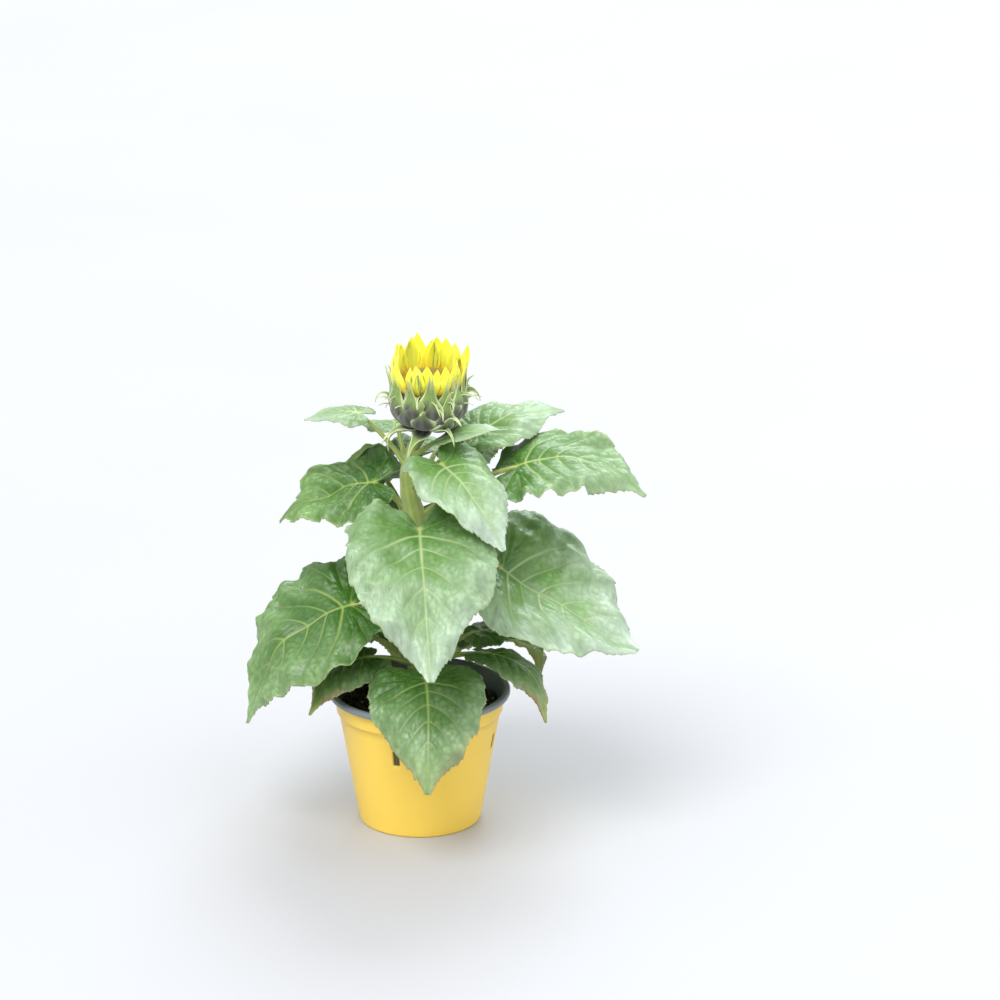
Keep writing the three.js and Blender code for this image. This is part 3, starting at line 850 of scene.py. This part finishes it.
def ray_paint(s, v):
    yellow = PETAL_YELLOW * RNG.uniform(0.97, 1.0)
    # an orange foot on each petal, partly its own colour and partly painted shade between the petals, spread
    # up its edges
    orange_foot_and_shade = blend(PETAL_FOOT_AND_SHADE, yellow, np.clip(s * 3.2 - 0.65 - 0.5 * v * v, 0, 1))
    # painted highlight: paler yellow stripes along the petal's ridges
    ridge_highlight = 0.5 + 0.5 * np.cos(6 * math.pi * v)
    return blend(orange_foot_and_shade, PETAL_HIGHLIGHT, 0.4 * ridge_highlight * np.clip(s * 2 - 0.5, 0, 1))


def ray_piece():
    """Two ranks of ray petals; those at the front lean out and stay shorter than those at the back."""
    pile = Pile()
    base = RAYS_LOW[2]
    tall = RAYS_HIGH[2] - base
    # ranks: count, start radius and drop, reach, width in mm, pitches in degrees, cup
    ranks = [
        (18, 15.8, -5.0, 1.08, 11.2, [70, 66, 74, 80, 83, 85], 0.22),
        (17, 13.4, -4.0, 1.04, 10.4, [78, 72, 76, 82, 86, 89], 0.26),
    ]
    for rank, (count, radius, drop, reach, width, pitches, cup) in enumerate(ranks):
        for k in range(count):
            angle = 2 * math.pi * (k + 0.5 * rank) / count + RNG.normal(0, 0.08)
            front = math.cos(angle - FRONT)
            keys = np.array(pitches) - 4 * front + RNG.normal(0, 3) + RNG.normal(0, 5, len(pitches))
            length = tall * reach * (0.82 - 0.17 * front) * RNG.uniform(0.9, 1.05)
            grid, s, v = head_strip(
                angle, radius * MM, base + drop * MM, length,
                width * (0.9 - 0.16 * front) * RNG.uniform(0.88, 1.1) * MM, keys, RAY_SHAPE, cup, 22, 13,
                RNG.normal(0, 0.25), RNG.normal(0, 0.09), 0.25 * MM)
            sheet(pile, grid, 0.35 * MM, ray_paint(s, v))
    return pile.piece("ray_petals", "ray", "ray", "flower_rays")


def disc_piece():
    """Packed florets on a low dome, in the spiral order of a sunflower."""
    pile = Pile()
    low, high = DISC_LOW[2], DISC_HIGH[2]
    radius = (DISC_HIGH[0] - DISC_LOW[0]) / 2
    dome = [
        [AXIS, low - 1 * MM],
        [radius, low - 1 * MM],
        [radius, low + 1.5 * MM],
        [0.75 * radius, mix(low, high, 0.6)],
        [0.4 * radius, high - 1.2 * MM],
        [AXIS, high - 1 * MM],
    ]
    turned(pile, dome, 40, linear(92, 84, 30))
    count = 260
    golden = math.pi * (3 - math.sqrt(5))
    for k in range(count):
        share = math.sqrt((k + 0.5) / count)
        a = k * golden
        r = share * 0.97 * radius
        z = mix(high - 1.5 * MM, low + 1 * MM, share ** 2.4)
        foot = np.array([r * math.cos(a), r * math.sin(a), z])
        lean = unit(np.array([0.5 * share * math.cos(a), 0.5 * share * math.sin(a), 1.0]))
        tall = mix(2.6, 4.2, share) * MM
        line = foot + np.linspace(0, 1, 5)[:, None] * lean * tall
        paint = blend(linear(92, 104, 34), linear(196, 156, 40), np.linspace(0, 1, 5) * mix(0.3, 1.0, share))
        tube(pile, line, np.array([0.75, 0.85, 0.7, 0.45, 0.08]) * MM, 6, paint, guide=(0, 1, 0))
    points = np.concatenate(pile.points)
    pile.points = [points + [HEAD_X, HEAD_Y, 0]]
    return pile.piece("disc_florets", "disc", "disc", "flower_disc")


# ---------- pot and soil ----------
# Radius at the foot and below the band, and height of the band's foot, as shares of the rim's.
FOOT_SHARE, STEP_SHARE, STEP_HEIGHT_SHARE = 0.676, 0.891, 0.829
WALL = 1.1 * MM
FLOOR_TOP = 1.4 * MM
HUB = 0.3 * MM  # the floor's inner edge, at the pot's axis
POT_SLOTS = 4
SLOT_LOW, SLOT_HIGH = 47 * MM, 56 * MM
SLOT_HALF = math.radians(2.2)
SLOT_DEPTH = 0.85 * MM
SLOT_BEARING = math.radians(72)
FRONT_TURN = math.pi / 2  # bearings start at -Y, angles at +X


def wall_profile():
    """Outside of the pot, bottom to top, as (radius, height)."""
    base = FOOT_SHARE * RIM_RADIUS
    step = STEP_SHARE * RIM_RADIUS
    z_step = STEP_HEIGHT_SHARE * RIM_TOP
    foot = [(base - 3.0 * MM, 0.0), (base - 0.8 * MM, 0.0), (base - 0.2 * MM, 0.4 * MM), (base, 1.2 * MM)]
    ends = [z + k * 0.3 * MM for z in (SLOT_LOW, SLOT_HIGH) for k in (-0.5, 0.5)]
    heights = np.sort(np.concatenate([np.linspace(3 * MM, z_step, 15), ends]))
    rise = [(np.interp(z, [1.2 * MM, z_step], [base, step]), z) for z in heights]
    top = POT_HIGH[2]
    shelf = [(step + 0.9 * MM, z_step + 0.4 * MM), (step + 1.3 * MM, z_step + 1.0 * MM)]
    band = [
        (mix(step + 1.4 * MM, step + 2.0 * MM, t), mix(z_step + 1.6 * MM, top, t))
        for t in np.linspace(0, 1, 8)
    ]
    return np.array(foot + rise + shelf + band)


def pot_piece():
    outside = wall_profile()
    inner = outside[::-1].copy()
    inner = inner[inner[:, 1] > 1.2 * MM]
    inner[:, 0] -= WALL
    floor = [[inner[-1, 0] - 0.5 * MM, FLOOR_TOP], [HUB, FLOOR_TOP]]
    start = [[HUB, 0.0]]
    profile = np.concatenate([start, outside, inner, floor])
    outer_rows = len(outside) + 1
    segments = 360

    def in_slot(height, angle):
        """Which places of the outside lie in one of the slots."""
        pitch = 2 * math.pi / POT_SLOTS
        off = (angle - SLOT_BEARING + FRONT_TURN + pitch / 2) % pitch - pitch / 2
        inside = (np.abs(off) < SLOT_HALF) & (height > SLOT_LOW) & (height < SLOT_HIGH)
        inside[outer_rows:] = False
        return inside

    def slots(radius, height, angle):
        return radius - SLOT_DEPTH * in_slot(height, angle), height

    angle = np.arange(segments) * 2 * math.pi / segments
    paint = np.broadcast_to(POT_YELLOW, (len(profile), segments, 3)).copy()
    # the slots are painted dark olive: painted shade for their depth
    paint[in_slot(profile[:, 1:], angle)] = SLOT_PAINTED_SHADE
    pile = Pile()
    turned(pile, profile, segments, paint, slots)
    return pile.piece("pot_wall", "pot", "pot", "pot")


def lip_piece():
    """The grey rolled lip and the grey inside of the pot."""
    r, top, low = RIM_RADIUS, RIM_TOP, LIP_LOW[2]
    sleeve = r - 5.4 * MM
    profile = np.array([
        (sleeve + 0.55 * MM, low - 0.1 * MM),
        (r - 1.2 * MM, low - 0.1 * MM),
        (r - 0.35 * MM, low + 0.3 * MM),
        (r, low + 1.0 * MM),
        (r, top - 1.1 * MM),
        (r - 0.35 * MM, top - 0.4 * MM),
        (r - 1.0 * MM, top),
        (r - 2.6 * MM, top),
        (r - 3.3 * MM, top - 0.4 * MM),
        (r - 4.2 * MM, top - 2.2 * MM),
        (sleeve, low - 1.5 * MM),
        (sleeve - 1.6 * MM, low - 11 * MM),
        (sleeve - 1.1 * MM, low - 11 * MM),
    ])
    pile = Pile()
    turned(pile, profile, 192, LIP_GREY)
    return pile.piece("pot_rim", "lip", "pot_lip", "pot_lip")


def soil_height(x, y):
    """Uneven top of the peat."""
    r = np.hypot(x, y)
    edge = 0.9 * SOIL_HIGH[0]
    level = mix(SOIL_HIGH[2], SOIL_HIGH[2] - 3.2 * MM, np.clip(r / edge, 0, 1.2) ** 2)
    rng = np.random.default_rng(5)
    rough = 0.8 * MM * waves(rng, x, y, 14 * MM, 8) + 0.45 * MM * waves(rng, x, y, 5 * MM, 10)
    rough = rough + 0.25 * MM * waves(rng, x, y, 2.2 * MM, 12)
    return level + rough * np.clip(r / (8 * MM), 0, 1)


def soil_piece():
    rings, segments = 60, 150
    edge = SOIL_HIGH[0] + 0.2 * MM
    r = np.linspace(HUB, edge, rings)[::-1]
    a = np.arange(segments) * 2 * math.pi / segments
    x, y = r[:, None] * np.cos(a), r[:, None] * np.sin(a)
    top = np.stack([x, y, soil_height(x, y)], -1).reshape(-1, 3)
    foot_radius = -0.6956 * SOIL_LOW[0]
    foot = np.stack([
        np.stack([q * np.cos(a), q * np.sin(a), np.full(segments, SOIL_LOW[2])], -1)
        for q in (HUB, foot_radius)
    ]).reshape(-1, 3)
    points = np.concatenate([foot, top])
    rows = rings + 2
    faces = grid_faces(rows, segments, True)
    cap = np.arange(segments)
    dark = linear(42, 31, 25)
    pile = Pile()
    pile.add(points, [faces, cap[None, ::-1], ((rows - 1) * segments + cap)[None, :]], dark)
    return pile.piece("peat", "soil", "soil", "soil")


def crumb_piece():
    """Loose crumbs of peat, a few pale grit grains and fibres on the soil."""
    pile = Pile()
    count, fibres = 2300, 150
    r = SOIL_HIGH[0] * 0.98 * np.sqrt(RNG.uniform(0.02, 1, count))
    a = RNG.uniform(0, 2 * math.pi, count)
    corners = np.array([[1, 0, 0], [-1, 0, 0], [0, 1, 0], [0, -1, 0], [0, 0, 1], [0, 0, -1]], float)
    faces = np.array([
        [0, 2, 4], [2, 1, 4], [1, 3, 4], [3, 0, 4],
        [2, 0, 5], [1, 2, 5], [3, 1, 5], [0, 3, 5],
    ])
    x, y = r * np.cos(a), r * np.sin(a)
    z = soil_height(x, y)
    pale = RNG.uniform(0, 1, count) < 0.035
    for k in range(count):
        size = RNG.uniform(0.35, 1.25) * MM * (1.0 if not pale[k] else 0.8)
        shape = corners * RNG.uniform(0.55, 1.2, (6, 1)) * size * RNG.uniform(0.6, 1.2, 3)
        turn = np.array(Euler(RNG.uniform(0, 6.28, 3)).to_matrix())
        if pale[k]:
            tone = linear(176, 164, 140)
        else:
            tone = blend(linear(30, 22, 18), linear(84, 60, 44), RNG.uniform(0, 1))
        pile.add(shape @ turn.T + [x[k], y[k], z[k] + 0.3 * size], [faces], tone)
    for _ in range(fibres):
        r0, a0 = SOIL_HIGH[0] * 0.93 * math.sqrt(RNG.uniform(0.03, 1)), RNG.uniform(0, 6.28)
        start = np.array([r0 * math.cos(a0), r0 * math.sin(a0)])
        course = RNG.uniform(0, 6.28) + np.cumsum(RNG.normal(0, 0.25, 7))
        step = RNG.uniform(0.6, 1.3) * MM
        line = start + np.cumsum(np.stack([np.cos(course), np.sin(course)], -1) * step, 0)
        line = line * np.minimum(1, 0.97 * SOIL_HIGH[0] / np.maximum(np.hypot(*line.T), 1e-6))[:, None]
        height = soil_height(line[:, 0], line[:, 1]) + 0.35 * MM
        tube(pile, np.concatenate([line, height[:, None]], 1), np.full(7, 0.16 * MM), 5,
             blend(linear(58, 42, 30), linear(120, 92, 62), RNG.uniform(0, 1)))
    return pile.piece("peat_crumbs", "soil", "soil", smooth=False)


# ---------- the studio ----------
def floor_piece():
    half = 6.0
    points = [(-half, -half, 0), (half, -half, 0), (half, half, 0), (-half, half, 0)]
    mesh = bpy.data.meshes.new("floor")
    mesh.from_pydata(points, [], [(0, 1, 2, 3)])
    material, nodes, links, shader = new_material("floor_paper")
    grain = noise_node(nodes, links, 3.0, 2.0)
    shade = nodes.new("ShaderNodeMixRGB")
    shade.inputs[1].default_value = (*linear(177, 177, 179), 1)
    shade.inputs[2].default_value = (*linear(182, 182, 184), 1)
    links.new(grain.outputs["Fac"], shade.inputs[0])
    links.new(shade.outputs[0], shader.inputs["Base Color"])
    shader.inputs["Roughness"].default_value = 0.6
    mesh.materials.append(material)
    floor = bpy.data.objects.new("floor", mesh)
    bpy.context.scene.collection.objects.link(floor)


def soft_sun(name, bearing, elevation, angle, strength, colour):
    """A far, wide lamp: bearing 0 is from -Y, 90 from +X; elevation above the floor, in degrees."""
    lamp = bpy.data.lights.new(name, "SUN")
    lamp.angle = math.radians(angle)
    lamp.energy = strength
    lamp.color = colour
    holder = bpy.data.objects.new(name, lamp)
    holder.rotation_euler = Euler((math.radians(90 - elevation), 0, math.radians(bearing)))
    bpy.context.scene.collection.objects.link(holder)


# Lamps: name, bearing, elevation and width in degrees, strength, colour.
SUNS = [
    ("key", -30, 55, 36, 2.35, (1, 1, 1)),
    ("back", 165, 46, 32, 1.6, (0.88, 0.95, 1.0)),
    ("side", 58, 38, 60, 0.55, (1, 1, 1)),
]


def studio():
    scene = bpy.context.scene
    world = bpy.data.worlds.new("studio")
    world.use_nodes = True
    background = world.node_tree.nodes["Background"]
    background.inputs["Color"].default_value = (0.95, 0.97, 1.0, 1)
    nodes, links = world.node_tree.nodes, world.node_tree.links
    # the room is brighter overhead than at its sides
    direction = nodes.new("ShaderNodeTexCoord")
    height = nodes.new("ShaderNodeSeparateXYZ")
    links.new(direction.outputs["Generated"], height.inputs[0])
    links.new(ramp(nodes, links, height.outputs["Z"], 0.36, 1.27, 0.0, 0.9), background.inputs["Strength"])
    # seen directly, it is as bright as the floor
    room = nodes.new("ShaderNodeBackground")
    room.inputs["Color"].default_value = (*linear(250, 252, 255), 1)
    rays = nodes.new("ShaderNodeLightPath")
    choice = nodes.new("ShaderNodeMixShader")
    links.new(rays.outputs["Is Camera Ray"], choice.inputs[0])
    links.new(background.outputs[0], choice.inputs[1])
    links.new(room.outputs[0], choice.inputs[2])
    links.new(choice.outputs[0], nodes["World Output"].inputs["Surface"])
    scene.world = world
    scene.view_settings.view_transform = "Standard"
    for sun in SUNS:
        soft_sun(*sun)


# Camera at the photo's viewing angle: lens in mm, place in metres, look down and turn in degrees.
LENS = 139.4
CAMERA_PLACE = (0, -2.099, 0.869)
LOOK_DOWN, LOOK_TURN = 17.854, -1.27


def camera():
    lens = bpy.data.cameras.new("camera")
    lens.sensor_width = 36
    lens.lens = LENS
    lens.clip_end = 50
    holder = bpy.data.objects.new("camera", lens)
    holder.location = CAMERA_PLACE
    holder.rotation_euler = Euler((math.radians(90 - LOOK_DOWN), 0, math.radians(LOOK_TURN)))
    bpy.context.scene.collection.objects.link(holder)
    bpy.context.scene.camera = holder


# ---------- the plant ----------
camera()
studio()
floor_piece()
pot_piece()
lip_piece()
soil_piece()
crumb_piece()
LEAF_LIST = [Leaf(name, row) for name, row in LEAVES.items()]
stem_piece()
for each in LEAF_LIST:
    stalk_piece(each)
    blade_piece(each)
hair_piece()
cup_piece()
bract_piece()
ray_piece()
disc_piece()
